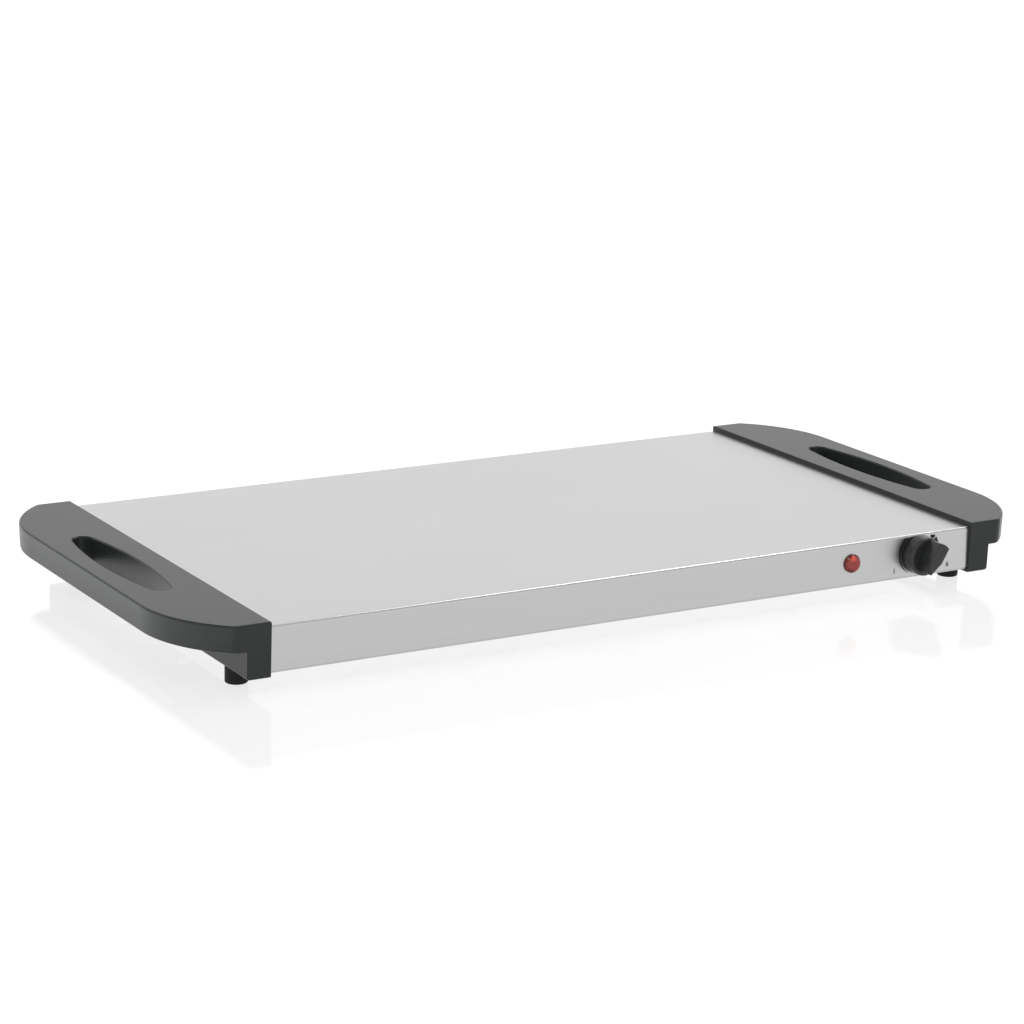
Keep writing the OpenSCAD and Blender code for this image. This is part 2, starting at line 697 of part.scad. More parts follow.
// Handles: a grip shell with a finger slot, and a block that wraps the end of the case
module rim_profile(inset) {
    top = rim_top - [inset, 0];
    low = low_r - inset;
    polygon([
        [0, grip_bottom + inset], [rim_low[0], grip_bottom + inset], rim_low + (low - bite) * rim_normal,
        top + (edge_r - bite) * rim_normal, [top[0], cap_z], [0, cap_z]
    ]);
    translate(top) circle(edge_r);
    translate(rim_low) circle(low);
}

module grip_outline(inset) {
    side = cap_half_w - inset;
    translate([block_end, -straight_half]) square([grip_end - inset - block_end, straight_l]);
    intersection() {
        union() for (s = [-1, 1]) translate([corner_x, s * straight_half]) circle(corner_r - inset);
        translate([block_end, -side]) square([grip_l, 2 * side]);
    }
}

module grip_rim() {
    translate([grip_end - rim_w, 0, 0]) along_y(straight_l) rim_profile(0);
    both_sides() {
        translate([corner_x, straight_half, 0])
            rotate_extrude(angle = corner_turn) translate([corner_r - rim_w, 0]) rim_profile(0);
        translate([nose_x, nose_y, 0]) rotate([0, 0, corner_turn - nose_lap])
            rotate_extrude(angle = 90 - corner_turn + 2 * nose_lap) rim_profile(nose_step);
        translate([(block_end - block_lap + nose_x) / 2, grip_half_w - rim_w, 0])
            along_x(nose_x - block_end + block_lap) rim_profile(0);
    }
}

module block_side_section() {
    side = block_l / 2;
    polygon([
        [inner_r - side, foot_h], [side - block_low_r, foot_h], [side, foot_h + block_low_r], [side, cap_z],
        [inner_r - side, cap_z], [-side, cap_z - inner_r], [-side, foot_h + inner_r]
    ]);
    translate([side - block_low_r, foot_h + block_low_r]) circle(block_low_r);
    for (z = [foot_h + inner_r, cap_z - inner_r]) translate([inner_r - side, z]) circle(inner_r);
}

module block_front_section() {
    top = [cap_half_w - edge_r, cap_z - edge_r];
    low = [top[0] - (top[1] - foot_h - edge_r) * tan(draft), foot_h + edge_r];
    face = (edge_r - bite) * rim_normal;
    polygon([
        [-low[0], foot_h], [low[0], foot_h], low + face, top + face, [top[0], cap_z], [-top[0], cap_z],
        [-top[0] - face[0], top[1] + face[1]], [-low[0] - face[0], low[1] + face[1]]
    ]);
    for (p = [top, low], s = [-1, 1]) translate([s * p[0], p[1]]) circle(edge_r);
}

module wrap_block() translate([half_l + block_l / 2, 0, 0]) intersection() {
    along_y(2 * cap_half_w + cut) block_side_section();
    along_x(block_l + cut) block_front_section();
}

module case_pocket() difference() {
    translate([half_l - cut, -half_w - fit_gap, case_bottom])
        cube([lap + end_gap + cut, plate_w + 2 * fit_gap, case_h]);
    translate([half_l - 2 * cut, -land_half_w, case_bottom - cut])
        cube([block_l + cut, 2 * land_half_w, sheet + cut]);
}

module slot_outline(grow) {
    side_x = slot_side_r - slot_w / 2;
    meet_y = (slot_side_r + grow) * sin(slot_meet);
    intersection() {
        translate([-side_x, 0]) circle(slot_side_r + grow, $fn = long_arc);
        translate([side_x, 0]) circle(slot_side_r + grow, $fn = long_arc);
        translate([-slot_w, -meet_y]) square([2 * slot_w, 2 * meet_y]);
    }
    for (s = [-1, 1]) translate([0, s * slot_end_y]) circle(slot_end_r + slot_bulge + grow);
}

module flare_cone(r)
    cylinder(h = sink + slot_chamfer + cut, r1 = r - sink, r2 = r + slot_chamfer + cut, $fn = long_arc);

module slot_flare() {
    side_x = slot_side_r - slot_w / 2;
    meet_y = slot_side_r * sin(slot_meet);
    intersection() {
        translate([-side_x, 0, 0]) flare_cone(slot_side_r);
        translate([side_x, 0, 0]) flare_cone(slot_side_r);
        translate([-slot_w, -meet_y, 0]) cube([2 * slot_w, 2 * meet_y, sink + slot_chamfer + cut]);
    }
    for (s = [-1, 1]) translate([0, s * slot_end_y, 0]) flare_cone(slot_end_r + slot_bulge);
}

module grip_hollow() difference() {
    translate([0, 0, grip_bottom - cut]) linear_extrude(grip_ceiling - grip_bottom + cut) difference() {
        intersection() {
            grip_outline(skirt_wall);
            translate([block_end, -cap_half_w]) square([grip_l, 2 * cap_half_w]);
        }
        translate([slot_x, 0]) slot_outline(slot_wall);
    }
    for (i = [-ceil(cap_half_w / rib_pitch) : ceil(cap_half_w / rib_pitch)])
        translate([block_end - cut, i * rib_pitch - rib_t / 2, grip_bottom + rib_recess])
            cube([grip_l, rib_t, grip_t]);
}

module handle() difference() {
    union() {
        wrap_block();
        grip_rim();
        translate([0, 0, grip_bottom]) linear_extrude(grip_t) grip_outline(rim_w - sink);
    }
    case_pocket();
    grip_hollow();
    translate([slot_x, 0, grip_bottom - cut]) linear_extrude(grip_t + 2 * cut) slot_outline(0);
    translate([slot_x, 0, cap_z - slot_chamfer - sink]) slot_flare();
    for (y = [-foot_y, -handle_screw_y, handle_screw_y, foot_y])
        translate([screw_x, y, 0]) disc(foot_h - cut, inside_bottom + cut, screw_r + fit_gap);
}

module left_handle() color(black_plastic) mirror([1, 0, 0]) handle();
module right_handle() color(black_plastic) handle();

module foot(sx, sy) color(black_rubber)
    translate([sx * screw_x, sy * foot_y, 0]) rotate_extrude() polygon(concat(
        [[screw_r + fit_gap, foot_h], [screw_r + fit_gap, foot_recess], [foot_recess_r, foot_recess]],
        [[foot_recess_r, 0]],
        [for (a = [-90 : 15 : 0]) [foot_r - foot_round * (1 - cos(a)), foot_round * (1 + sin(a))]],
        [[foot_r, foot_h]]));

module foot_front_left() foot(-1, -1);
module foot_front_right() foot(1, -1);
module foot_rear_left() foot(-1, 1);
module foot_rear_right() foot(1, 1);

module foot_screws() color(zinc)
    at_points([for (sx = [-1, 1], sy = [-1, 1]) [sx * screw_x, sy * foot_y]], foot_recess)
        pan_screw(screw_r, pan_top + nut_h - foot_recess, head_r, head_h);

module handle_screws() color(zinc)
    at_points([for (sx = [-1, 1], sy = [-1, 1]) [sx * screw_x, sy * handle_screw_y]], foot_h)
        pan_screw(screw_r, pan_top + nut_h - foot_h, head_r, head_h);

module pan_nuts() color(zinc)
    at_points(nut_points, 0) hex(pan_top, pan_top + nut_h, nut_af, screw_r + run_gap);

module base_screws() color(zinc)
    both_sides() at_points([for (x = lip_screw_x) [x, lip_screw_y]], case_bottom)
        pan_screw(base_screw_r, pan_top + sheet - case_bottom, base_head_r, base_head_h);

// Knob and spindle, which turn together
module knob_turned() front_at(knob_x) rotate([0, 0, 180 - knob_rest]) children();

module edge_cut(p, q) translate([(p[0] + q[0]) / 2, (p[1] + q[1]) / 2, knob_reach])
    rotate([0, 0, atan2(q[1] - p[1], q[0] - p[0])]) rotate([45, 0, 0])
        cube([norm(q - p) + cut, bar_chamfer * sqrt(2), bar_chamfer * sqrt(2)], center = true);

module finger_bar() difference() {
    intersection() {
        translate([0, 0, bar_foot]) linear_extrude(knob_reach - bar_foot) polygon(bar_points);
        union() {
            disc(bar_foot - cut, knob_reach - bar_chamfer, bar_back);
            translate([0, 0, knob_reach - bar_chamfer])
                cylinder(h = 2 * bar_chamfer, r1 = bar_back, r2 = bar_back - 2 * bar_chamfer);
        }
    }
    for (e = [[1, 2], [2, 3], [3, 4], [4, 5], [5, 0]]) edge_cut(bar_points[e[0]], bar_points[e[1]]);
}

module knob_drum() difference() {
    rotate_extrude() {
        polygon([
            [0, knob_gap], [knob_skirt_r, knob_gap], [knob_drum_r, knob_face - knob_round],
            [knob_drum_r - knob_round, knob_face], [0, knob_face]
        ]);
        translate([knob_drum_r - knob_round, knob_face - knob_round]) circle(knob_round);
    }
    translate([0, 0, knob_face - dish_h + dish_curve_r]) sphere(dish_curve_r);
}

module spindle_section(flat) intersection() {
    circle(spindle_r);
    translate([-2 * spindle_r, -2 * spindle_r]) square([4 * spindle_r, 2 * spindle_r + flat]);
}

module control_knob() color(black_plastic) knob_turned() difference() {
    union() {
        knob_drum();
        finger_bar();
    }
    disc(0, knob_gap + knob_hollow_h, knob_hollow_r);
    linear_extrude(spindle_reach + free_gap) intersection() {
        circle(spindle_r + run_gap);
        translate([-2 * spindle_r, -2 * spindle_r])
            square([4 * spindle_r, 2 * spindle_r + spindle_flat + knob_spring_t + run_gap]);
    }
}

module knob_spring() color(zinc) knob_turned() {
    length = spindle_reach - knob_gap - knob_hollow_h;
    translate([-spindle_flat, spindle_flat, spindle_reach - length])
        cube([2 * spindle_flat, knob_spring_t, length]);
}

module thermostat_spindle() color(zinc) knob_turned() {
    flat_start = knob_gap + knob_hollow_h - sink;
    disc(spindle_collar_z, flat_start, spindle_r);
    translate([0, 0, flat_start]) linear_extrude(spindle_reach - flat_start) spindle_section(spindle_flat);
    disc(spindle_collar_z - spindle_collar_t, spindle_collar_z, spindle_collar_r);
    disc(adjust_z + free_gap, spindle_collar_z - spindle_collar_t, adjust_tip_r);
}

// Thermostat behind the front panel
module thermostat_bush() color(brass) front_at(knob_x) difference() {
    union() {
        disc(bush_end_z, washer_t + bush_nut_t, bush_r);
        disc(collar_z, -sheet, bush_collar_r);
    }
    disc(bush_end_z - cut, washer_t + bush_nut_t + cut, spindle_r + run_gap);
}

module bush_washer() color(zinc) front_at(knob_x)
    ring(0, washer_t, bush_collar_r, bush_r + run_gap);

module bush_nut() color(brass) front_at(knob_x)
    hex(washer_t, washer_t + bush_nut_t, bush_nut_af, bush_r + run_gap);

module thermostat_frame() color(zinc) front_at(knob_x) difference() {
    translate([-frame_left, -frame_h / 2, frame_z])
        cube([frame_left + stack_x + stack_r, frame_h, frame_t]);
    disc(frame_z - cut, collar_z + cut, bush_r + run_gap);
    translate([stack_x, 0, 0]) disc(frame_z - cut, collar_z + cut, rivet_r + run_gap);
}

module on_stack() front_at(knob_x) translate([stack_x, 0, 0]) children();

module stack_insulators() color(ceramic_white) on_stack() {
    ring(frame_z, adjust_z, stack_r, rivet_r + run_gap);
    ring(second_ring_z, contact_z, stack_r, rivet_r + run_gap);
    ring(third_ring_z, bimetal_z, stack_r, rivet_r + run_gap);
}

module stack_rivet() color(zinc) on_stack() {
    disc(stack_end_z, collar_z, rivet_r);
    disc(stack_end_z - rivet_head_t, stack_end_z, rivet_head_r);
    disc(collar_z, collar_z + rivet_head_t, rivet_head_r);
}

module strip(z, left, right, width, thick) front_at(knob_x) difference() {
    translate([-left, -width / 2, z - thick]) cube([left + right, width, thick]);
    translate([stack_x, 0, 0]) disc(z - thick - cut, z + cut, rivet_r + run_gap);
}

module adjusting_leaf() color(brass) {
    strip(adjust_z, leaf_left, tag_end, leaf_w, leaf_t);
    front_at(knob_x) translate([contact_r - leaf_left, 0, 0])
        disc(second_ring_z - contact_t, second_ring_z, contact_r);
}

module contact_leaf() color(brass) {
    strip(contact_z, leaf_left, tag_end, leaf_w, leaf_t);
    front_at(knob_x) translate([contact_r - leaf_left, 0, 0])
        disc(contact_z, contact_z + contact_t, contact_r);
}

module bimetal_strip() color(steel)
    strip(bimetal_z, leaf_left + push_pin_r, stack_x + stack_r, leaf_w, bimetal_t);

module push_pin() color(ceramic_white) front_at(knob_x) translate([-leaf_left / 2, 0, 0])
    disc(bimetal_z, third_ring_z - fit_gap, push_pin_r);

// Indicator lamp
module lamp_lens() color(lamp_red) front_at(lamp_x) intersection() {
    rotate_extrude() polygon([
        [0, lens_reach], [lens_face_r, lens_reach], [lens_r, lens_rim_t], [lens_r, 0],
        [lamp_r, 0], [lamp_r, barrel_z], [lamp_r - lamp_wall, barrel_z],
        [lamp_r - lamp_wall, 0], [0, lens_reach - lamp_wall]
    ]);
    translate([0, 0, lens_reach - lens_dome_r]) sphere(lens_dome_r);
}

module lamp_clip() color(zinc) front_at(lamp_x)
    ring(-sheet - clip_t, -sheet, clip_r, lamp_r + run_gap);

module lamp_holder() color(ceramic_white) front_at(lamp_x) difference() {
    disc(holder_end_z, barrel_z, lamp_r);
    disc(bulb_base_z + bulb_seat_l, barrel_z + cut, lamp_r - lamp_wall);
    disc(bulb_base_z, barrel_z, bulb_r + run_gap);
    translate([0, -lamp_r / 2, 0]) disc(holder_end_z - cut, bulb_base_z - lamp_wall, resistor_r + run_gap);
}

module neon_bulb() color([0.95, 0.75, 0.6]) front_at(lamp_x) {
    disc(bulb_base_z, bulb_base_z + bulb_l - bulb_r, bulb_r);
    translate([0, 0, bulb_base_z + bulb_l - bulb_r])
        rotate_extrude() intersection() {
            circle(bulb_r);
            square(bulb_r);
        }
}

module lamp_resistor() color([0.7, 0.55, 0.35]) front_at(lamp_x)
    translate([0, -lamp_r / 2, 0])
        disc(holder_end_z, bulb_base_z - lamp_wall, resistor_r);

// Heater under the plate
module heating_cable() color([0.75, 0.3, 0.2]) {
    for (i = [0 : cable_runs - 1]) {
        y = i * cable_pitch - cable_y;
        right = i == 0 || i == cable_runs - 1 ? cable_end_x : cable_run_x;
        translate([-cable_run_x, y, cable_z]) rotate([0, 90, 0]) cylinder(h = right + cable_run_x, r = cable_r);
    }
    for (i = [0 : cable_runs - 2]) {
        side = i % 2 == 0 ? -1 : 1;
        translate([side * cable_run_x, (i + 0.5) * cable_pitch - cable_y, cable_z])
            rotate([0, 0, side > 0 ? -90 : 90])
                rotate_extrude(angle = 180) translate([cable_pitch / 2, 0]) circle(cable_r);
    }
}

module heater_foil() color([0.85, 0.85, 0.86])
    translate([-foil_half_l, -foil_half_w, foil_z]) cube([2 * foil_half_l, 2 * foil_half_w, foil_t]);

module insulation_mat() color(glass_wool) {
    translate([-mat_half_l, -mat_half_w, pan_top])
        cube([mat_half_l + bay_x, 2 * mat_half_w, foil_z - pan_top]);
    translate([bay_x, bay_front_y, bay_mat_z])
        cube([mat_half_l - bay_x, bay_rear_y - bay_front_y, bay_mat_t]);
}

module heat_shield() color(zinc)
    translate([bay_x, (bay_front_y + bay_rear_y) / 2, 0]) rotate([90, 0, 0])
        linear_extrude(bay_rear_y - bay_front_y, center = true) {
            translate([0, pan_top]) square([shield_t, bay_mat_z - pan_top]);
            translate([0, shield_z]) square([mat_half_l - bay_x, shield_t]);
            translate([0, pan_top]) square([shield_foot, shield_t]);
        }

module at_fuse() translate([fuse_x, fuse_y, fuse_z]) rotate([90, 0, 90]) children();

module thermal_fuse() color(zinc) at_fuse() {
    disc(-fuse_l / 2, fuse_l / 2, fuse_r);
    disc(-fuse_l / 2 - fuse_r, fuse_l / 2 + fuse_r, fuse_r / 3);
}

module fuse_clip() color(zinc) at_fuse() linear_extrude(fuse_clip_w, center = true) {
    strap_r = fuse_r + run_gap;
    difference() {
        circle(strap_r + fuse_clip_t);
        circle(strap_r);
        translate([-2 * strap_r, 0]) square([4 * strap_r, 2 * strap_r]);
    }
    for (s = [-1, 1]) {
        translate([s * (strap_r + fuse_clip_t / 2) - fuse_clip_t / 2, 0]) square([fuse_clip_t, fuse_r]);
        translate([s > 0 ? strap_r : -strap_r - fuse_tab, fuse_r - fuse_clip_t])
            square([fuse_tab, fuse_clip_t]);
    }
}

// Wiring bay
module terminal_block() color(black_plastic) difference() {
    translate([terminal_x - terminal_w / 2, terminal_front, pan_top])
        cube([terminal_w, terminal_d, terminal_h]);
    for (x = pole_x) {
        translate([x, terminal_y, pole_z]) rotate([90, 0, 0])
            disc(-terminal_d, terminal_d, pole_r + run_gap);
        at_points([for (s = [-1, 1]) [x, terminal_y + s * pole_screw_y]], pole_z)
            disc(0, terminal_h, pole_screw_r + run_gap);
    }
}

module terminal_tubes() color(brass)
    for (x = pole_x) difference() {
        translate([x, terminal_y, pole_z]) rotate([90, 0, 0])
            ring(-terminal_d / 2, terminal_d / 2, pole_r, pole_bore_r);
        at_points([for (s = [-1, 1]) [x, terminal_y + s * pole_screw_y]], pole_z)
            disc(0, terminal_h, pole_screw_r + run_gap);
    }

module terminal_screws() color(zinc)
    at_points([for (x = pole_x, s = [-1, 1]) [x, terminal_y + s * pole_screw_y]], pole_screw_z)
        disc(0, pole_screw_h, pole_screw_r);

module live_wires() color([0.45, 0.25, 0.12]) {
    wire(mains_route, wire_r);
    wire(fuse_route, wire_r);
}

module heater_leads() color([0.85, 0.85, 0.82]) {
    wire(front_lead_route, wire_r);
    wire(rear_lead_route, wire_r);
}

module lamp_leads() color([0.2, 0.3, 0.6]) {
    wire(lamp_neutral_route, lamp_wire_r);
    wire(lamp_live_route, lamp_wire_r);
}

module earth_wire() color([0.3, 0.6, 0.2]) wire(earth_route, wire_r);

module at_earth() translate([earth_x, earth_y, 0]) children();

module earth_screw() color(zinc) at_earth() translate([0, 0, inside_bottom])
    pan_screw(screw_r, earth_h + pan_sheet, head_r, head_h);

module earth_tag() color(brass) at_earth() {
    ring(pan_top, pan_top + tag_t, tag_r, screw_r + run_gap);
    translate([tag_r - sink, -wire_r, pan_top]) cube([tag_r, 2 * wire_r, tag_t]);
}

module earth_nut() color(zinc) at_earth()
    hex(pan_top + tag_t, pan_top + tag_t + nut_h, nut_af, screw_r + run_gap);

// Cord inlet in the rear panel
module cord_gland() color(black_plastic) rear_at(gland_x) difference() {
    union() {
        disc(0, gland_flange_t, gland_flange_r);
        disc(-sheet - gland_l, 0, gland_r);
    }
    disc(-sheet - gland_l - cut, gland_flange_t + cut, gland_bore_r);
}

module gland_nut() color(black_plastic) rear_at(gland_x)
    hex(-sheet - gland_nut_t, -sheet, gland_nut_af, gland_r + run_gap);

in_frame() heating_plate();
in_frame() base_pan();
in_frame() left_handle();
in_frame() right_handle();
in_frame() foot_front_left();
in_frame() foot_front_right();
in_frame() foot_rear_left();
in_frame() foot_rear_right();
in_frame() foot_screws();
in_frame() handle_screws();
in_frame() pan_nuts();
in_frame() base_screws();
in_frame() control_knob();
in_frame() knob_spring();
in_frame() thermostat_spindle();
in_frame() thermostat_bush();
in_frame() bush_washer();
in_frame() bush_nut();
in_frame() thermostat_frame();
in_frame() stack_insulators();
in_frame() stack_rivet();
in_frame() adjusting_leaf();
in_frame() contact_leaf();
in_frame() bimetal_strip();
in_frame() push_pin();
in_frame() lamp_lens();
in_frame() lamp_holder();
in_frame() lamp_clip();
in_frame() neon_bulb();
in_frame() lamp_resistor();
in_frame() heating_cable();
in_frame() heater_foil();
in_frame() insulation_mat();
in_frame() heat_shield();
in_frame() thermal_fuse();
in_frame() fuse_clip();
in_frame() terminal_block();
in_frame() terminal_tubes();
in_frame() terminal_screws();
in_frame() live_wires();
in_frame() heater_leads();
in_frame() lamp_leads();
in_frame() earth_wire();
in_frame() earth_screw();
in_frame() earth_tag();
in_frame() earth_nut();
in_frame() cord_gland();
in_frame() gland_nut();
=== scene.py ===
import json
import math

import bpy
from mathutils import Matrix, Vector


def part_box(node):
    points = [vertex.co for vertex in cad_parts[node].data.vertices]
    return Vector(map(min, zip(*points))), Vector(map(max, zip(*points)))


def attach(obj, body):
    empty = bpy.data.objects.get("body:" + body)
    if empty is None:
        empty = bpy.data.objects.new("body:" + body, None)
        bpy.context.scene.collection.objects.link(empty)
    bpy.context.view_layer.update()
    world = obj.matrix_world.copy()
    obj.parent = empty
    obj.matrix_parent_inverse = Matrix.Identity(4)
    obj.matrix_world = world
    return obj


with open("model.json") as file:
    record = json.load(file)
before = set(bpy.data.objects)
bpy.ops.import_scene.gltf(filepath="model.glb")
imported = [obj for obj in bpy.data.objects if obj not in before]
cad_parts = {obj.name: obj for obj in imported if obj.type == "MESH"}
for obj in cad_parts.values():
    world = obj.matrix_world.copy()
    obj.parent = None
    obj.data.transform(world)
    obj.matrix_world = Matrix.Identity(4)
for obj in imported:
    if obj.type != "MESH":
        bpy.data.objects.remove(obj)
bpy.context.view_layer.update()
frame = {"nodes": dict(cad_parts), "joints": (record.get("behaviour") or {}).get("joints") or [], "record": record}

MM = 0.001

# Turns a thing that lies flat on the floor so that it stands against the front panel
STANDING = (math.pi / 2, 0, 0)

# Ranges of a value: the part of a noise that is used, and the whole of a mask
NOISE_RANGE = (0.3, 0.7)
MASK_RANGE = (0.0, 1.0)


def rgb(red, green, blue):
    return (red, green, blue, 1.0)


def grey(value):
    return rgb(value, value, value)


WHITE = grey(1.0)


# Node helpers

def add_node(tree, kind, **settings):
    """Adds a node; settings named for its properties are set on it, the rest on its sockets."""
    node = tree.nodes.new(kind)
    for name, value in settings.items():
        if hasattr(node, name):
            setattr(node, name, value)
        else:
            node.inputs[name.replace("_", " ")].default_value = value
    return node


def link(tree, source, target):
    tree.links.new(source, target)


def object_place(tree):
    return tree.nodes.new("ShaderNodeTexCoord").outputs["Object"]


def combine(tree, operation, first, second):
    """One value made from two."""
    node = add_node(tree, "ShaderNodeMath", operation=operation)
    link(tree, first, node.inputs[0])
    link(tree, second, node.inputs[1])
    return node.outputs["Value"]


def vector_step(tree, operation, vector, fixed=(0.0, 0.0, 0.0)):
    """A node that works on a vector and, where the operation takes one, a fixed vector."""
    node = add_node(tree, "ShaderNodeVectorMath", operation=operation)
    node.inputs[1].default_value = fixed
    link(tree, vector, node.inputs[0])
    return node


def spread(tree, value, target, source=NOISE_RANGE):
    """Maps a value from a source range onto a target range and holds it at both ends."""
    node = tree.nodes.new("ShaderNodeMapRange")
    labels = ("From Min", "From Max", "To Min", "To Max")
    for label, number in zip(labels, (*source, *target)):
        node.inputs[label].default_value = number
    link(tree, value, node.inputs["Value"])
    return node.outputs["Result"]


def blend(tree, factor, colours):
    """A colour between two, by a factor from 0 to 1."""
    mix = tree.nodes.new("ShaderNodeMix")
    mix.data_type = "RGBA"
    sockets = {socket.identifier: socket for socket in mix.inputs}
    sockets["A_Color"].default_value, sockets["B_Color"].default_value = colours
    link(tree, factor, sockets["Factor_Float"])
    return next(socket for socket in mix.outputs if socket.identifier == "Result_Color")


def stretched_noise(tree, place, stretch, detail):
    """Noise over places that are stretched by a fixed scale on each axis."""
    mapping = add_node(tree, "ShaderNodeMapping", Scale=stretch)
    noise = add_node(tree, "ShaderNodeTexNoise", Scale=1.0, Detail=detail, Roughness=0.6)
    link(tree, place, mapping.inputs["Vector"])
    link(tree, mapping.outputs["Vector"], noise.inputs["Vector"])
    return noise.outputs["Fac"]


def scaled_texture(tree, place, scale, kind, **settings):
    """A texture over places whose scale is an input of its group."""
    texture = add_node(tree, kind, **settings)
    link(tree, place, texture.inputs["Vector"])
    link(tree, scale, texture.inputs["Scale"])
    return texture


# Effects that several finishes share

FINE_SCRATCHES = (9.0, 2600.0, 2600.0)
BROAD_SCRATCHES = (3.0, 420.0, 420.0)
SLOW_CLOUD = (7.0, 11.0, 11.0)


def new_group(name, numbers, outputs):
    """An empty node group whose inputs are named numbers and whose outputs are values."""
    tree = bpy.data.node_groups.new(name, "ShaderNodeTree")
    for label, value in numbers:
        socket = tree.interface.new_socket(label, in_out="INPUT", socket_type="NodeSocketFloat")
        socket.default_value = value
    for label in outputs:
        tree.interface.new_socket(label, in_out="OUTPUT", socket_type="NodeSocketFloat")
    return tree, tree.nodes.new("NodeGroupInput"), tree.nodes.new("NodeGroupOutput")


def make_rolled_grain():
    """Long fine scratches along X, as rolled and brushed sheet has them, and a slow cloud."""
    tree, start, end = new_group(
        "rolled_grain", [("Fine", 0.65), ("Broad", 0.35)], ["Grain", "Cloud"])
    place = object_place(tree)
    fine = stretched_noise(tree, place, FINE_SCRATCHES, 3.0)
    broad = stretched_noise(tree, place, BROAD_SCRATCHES, 2.0)
    cloud = stretched_noise(tree, place, SLOW_CLOUD, 2.0)
    grain = combine(
        tree, "ADD",
        combine(tree, "MULTIPLY", fine, start.outputs["Fine"]),
        combine(tree, "MULTIPLY", broad, start.outputs["Broad"]))
    link(tree, grain, end.inputs["Grain"])
    link(tree, cloud, end.inputs["Cloud"])
    return tree


def make_moulded_texture():
    """Fine even pimples of a textured mould, and a slow drift of tone."""
    tree, start, end = new_group(
        "moulded_texture", [("Pimples", 1500.0), ("Drift", 18.0)], ["Height", "Tone"])
    place = object_place(tree)
    pimples = scaled_texture(
        tree, place, start.outputs["Pimples"], "ShaderNodeTexNoise", Detail=2.0, Roughness=0.55)
    drift = scaled_texture(
        tree, place, start.outputs["Drift"], "ShaderNodeTexNoise", Detail=3.0, Roughness=0.6)
    link(tree, pimples.outputs["Fac"], end.inputs["Height"])
    link(tree, drift.outputs["Fac"], end.inputs["Tone"])
    return tree


def make_speckle():
    """Small irregular cells, as on zinc spangle, fired clay or felted fibre, and fine dust."""
    tree, start, end = new_group(
        "speckle", [("Cells", 200.0), ("Dust", 900.0)], ["Cell", "Dust"])
    place = object_place(tree)
    cells = scaled_texture(tree, place, start.outputs["Cells"], "ShaderNodeTexVoronoi")
    dust = scaled_texture(
        tree, place, start.outputs["Dust"], "ShaderNodeTexNoise", Detail=4.0, Roughness=0.65)
    split = tree.nodes.new("ShaderNodeSeparateColor")
    link(tree, cells.outputs["Color"], split.inputs["Color"])
    link(tree, split.outputs["Red"], end.inputs["Cell"])
    link(tree, dust.outputs["Fac"], end.inputs["Dust"])
    return tree


ROLLED_GRAIN = make_rolled_grain()
MOULDED_TEXTURE = make_moulded_texture()
SPECKLE = make_speckle()


# Finishes: tones are a darker and a lighter colour, roughness runs from smooth to rough

SCRATCH_STRENGTH = 0.1
PIMPLE_STRENGTH = 0.35
DUST_STRENGTH = 0.3


def new_finish(name, **sockets):
    """A material with one Principled shader whose fixed values sit on its own sockets."""
    material = bpy.data.materials.new(name)
    material.use_nodes = True
    tree = material.node_tree
    shader = tree.nodes["Principled BSDF"]
    for label, value in sockets.items():
        shader.inputs[label.replace("_", " ")].default_value = value
    return material, tree, shader


def place_group(tree, group, **numbers):
    node = tree.nodes.new("ShaderNodeGroup")
    node.node_tree = group
    for label, value in numbers.items():
        node.inputs[label].default_value = value
    return node


def tint(tree, shader, value, tones, source=NOISE_RANGE):
    """Base colour between two tones, by a value."""
    factor = spread(tree, value, MASK_RANGE, source)
    link(tree, blend(tree, factor, tones), shader.inputs["Base Color"])


def roughen(tree, shader, value, roughness):
    link(tree, spread(tree, value, roughness), shader.inputs["Roughness"])


def emboss(tree, shader, height, strength, depth):
    bump = add_node(tree, "ShaderNodeBump", Strength=strength, Distance=depth)
    link(tree, height, bump.inputs["Height"])
    link(tree, bump.outputs["Normal"], shader.inputs["Normal"])


def brushed_finish(name, tones, roughness, depth):
    material, tree, shader = new_finish(name, Metallic=1.0)
    grain = place_group(tree, ROLLED_GRAIN)
    tint(tree, shader, grain.outputs["Grain"], tones)
    roughen(tree, shader, grain.outputs["Cloud"], roughness)
    emboss(tree, shader, grain.outputs["Grain"], SCRATCH_STRENGTH, depth)
    return material


def moulded_finish(name, tones, roughness, pimples, depth, specular=0.5, sheen=WHITE):
    material, tree, shader = new_finish(name, Specular_IOR_Level=specular, Specular_Tint=sheen)
    texture = place_group(tree, MOULDED_TEXTURE, Pimples=pimples)
    tint(tree, shader, texture.outputs["Tone"], tones)
    roughen(tree, shader, texture.outputs["Height"], roughness)
    emboss(tree, shader, texture.outputs["Height"], PIMPLE_STRENGTH, depth)
    return material


def speckled_finish(name, tones, roughness, cells, dust, metallic=0.0, depth=0.02 * MM):
    material, tree, shader = new_finish(name, Metallic=metallic)
    speckle = place_group(tree, SPECKLE, Cells=cells, Dust=dust)
    tint(tree, shader, speckle.outputs["Cell"], tones, MASK_RANGE)
    roughen(tree, shader, speckle.outputs["Dust"], roughness)
    emboss(tree, shader, speckle.outputs["Dust"], DUST_STRENGTH, depth)
    return material


# The lens: its rim starts at a radius and its painted shade at a drop along the fall, both
# from the middle of its face; the spot of painted glow has a radius and a place of its own;
# all fade over the blur
LENS_RIM_R = 4.9 * MM
LENS_SHADE_DROP = 3.2 * MM
LENS_FALL = (-0.35, 0.0, -0.94)
LENS_SPOT_R = 1.1 * MM
LENS_SPOT_PLACE = Vector((-0.8 * MM, 0.0, 3.7 * MM))
LENS_BLUR = 0.8 * MM


